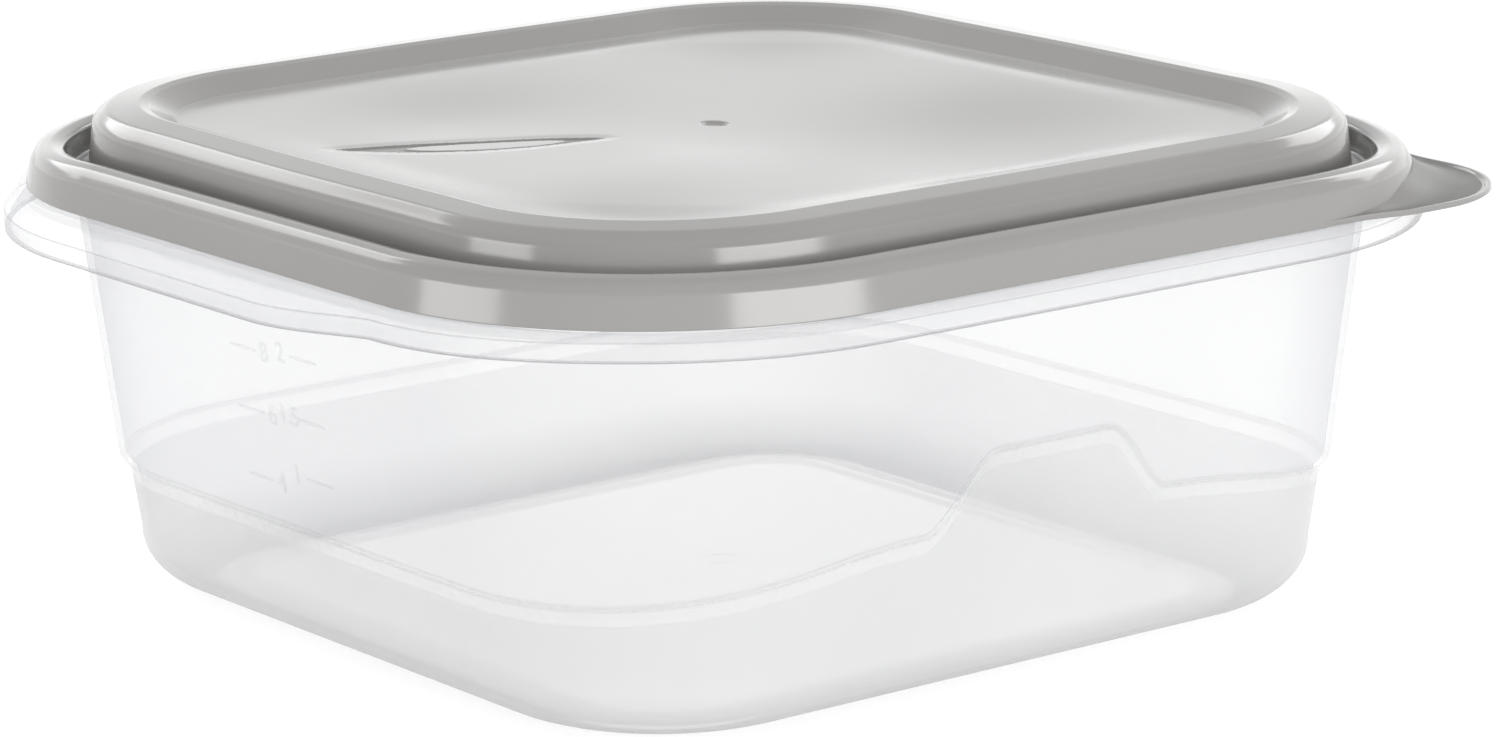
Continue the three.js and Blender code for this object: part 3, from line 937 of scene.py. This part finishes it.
def make_marks():
    """Two scales side by side: ticks at the outer ends, numbers between them."""
    bm = bmesh.new()
    for number, z in LEFT_SCALE:
        add_tick(bm, LEFT_TICK_Y, z)
        add_number(bm, number, LEFT_NUMBER_Y, z)
    for number, z in RIGHT_SCALE:
        add_tick(bm, RIGHT_TICK_Y, z)
        add_number(bm, number, RIGHT_NUMBER_Y, z)
    return finished_piece("measuring_marks", bm, "tub_body", [MARKING])


make_tub()
make_lid()
make_tab()
make_marks()


# ---------------------------------------------------------------- studio

def make_floor():
    """The table top, just below the surface that the container stands on."""
    bm = bmesh.new()
    bmesh.ops.create_grid(bm, x_segments=8, y_segments=8, size=TABLE_HALF)
    mesh = bpy.data.meshes.new("floor")
    bm.to_mesh(mesh)
    bm.free()
    mesh.materials.append(floor_paint())
    floor = bpy.data.objects.new("floor", mesh)
    floor.location.z = -TABLE_DROP
    bpy.context.scene.collection.objects.link(floor)


def softbox(name, azimuth, elevation, distance, width, height, power):
    """An area light that faces the container. Azimuth is measured in degrees from +X to +Y."""
    data = bpy.data.lights.new(name, "AREA")
    data.shape = "RECTANGLE"
    data.size, data.size_y = width, height
    data.energy = power
    lamp = bpy.data.objects.new(name, data)
    turn, rise = math.radians(azimuth), math.radians(elevation)
    towards = Vector((
        math.cos(turn) * math.cos(rise),
        math.sin(turn) * math.cos(rise),
        math.sin(rise),
    ))
    lamp.location = towards * distance + LIGHTS_AIM
    lamp.rotation_euler = towards.to_track_quat("Z", "Y").to_euler()
    lamp.visible_camera = False
    bpy.context.scene.collection.objects.link(lamp)
    return lamp


def make_world():
    """White all round, with its strength set by how far a direction rises above the horizon."""
    world = bpy.data.worlds.new("studio")
    world.use_nodes = True
    nodes, links = world.node_tree.nodes, world.node_tree.links
    background = nodes["Background"]
    background.inputs["Color"].default_value = (1.0, 1.0, 1.0, 1)
    where = add_node(nodes, "ShaderNodeTexCoord")
    split = add_node(nodes, "ShaderNodeSeparateXYZ")
    height = add_node(nodes, "ShaderNodeMapRange", interpolation_type="SMOOTHSTEP")
    height.inputs["From Min"].default_value = HORIZON_END
    height.inputs["From Max"].default_value = ZENITH_START
    height.inputs["To Min"].default_value = HORIZON_LIGHT
    height.inputs["To Max"].default_value = ZENITH_LIGHT
    links.new(where.outputs["Generated"], split.inputs["Vector"])
    links.new(split.outputs["Z"], height.inputs["Value"])
    links.new(height.outputs["Result"], background.inputs["Strength"])
    bpy.context.scene.world = world


def make_camera():
    """The camera. back points from its target to it, level is its right before the roll."""
    turn, rise, roll = CAMERA_TURN, CAMERA_RISE, CAMERA_ROLL
    back = Vector((
        math.sin(turn) * math.cos(rise),
        -math.cos(turn) * math.cos(rise),
        math.sin(rise),
    ))
    level = Vector((math.cos(turn), math.sin(turn), 0))
    over = back.cross(level)
    right = level * math.cos(roll) + over * math.sin(roll)
    up = over * math.cos(roll) - level * math.sin(roll)
    target = CAMERA_TARGET + right * CAMERA_SIDE_SHIFT + up * CAMERA_UP_SHIFT
    data = bpy.data.cameras.new("camera")
    data.lens = CAMERA_LENS
    data.sensor_width = 36
    data.clip_start, data.clip_end = 0.05, 60
    camera = bpy.data.objects.new("camera", data)
    camera.matrix_world = Matrix((right, up, back)).transposed().to_4x4()
    camera.location = (target + back * CAMERA_DISTANCE) * MM
    bpy.context.scene.collection.objects.link(camera)
    bpy.context.scene.camera = camera


make_floor()
make_world()
softbox("left_softbox", azimuth=166, elevation=6, distance=1.5, width=0.8, height=0.45, power=5.6)
softbox("right_softbox", azimuth=-84, elevation=6, distance=1.5, width=1.2, height=0.45, power=11.5)
fill = softbox("front_fill", azimuth=232, elevation=24, distance=2.2, width=1.8, height=1.0, power=8)
fill.visible_glossy = False
for name, azimuth in (("back_right_softbox", 8), ("back_left_softbox", 97)):
    softbox(name, azimuth, elevation=27, distance=1.6, width=1.1, height=0.6, power=7)
make_camera()
bpy.context.scene.view_settings.view_transform = "Standard"
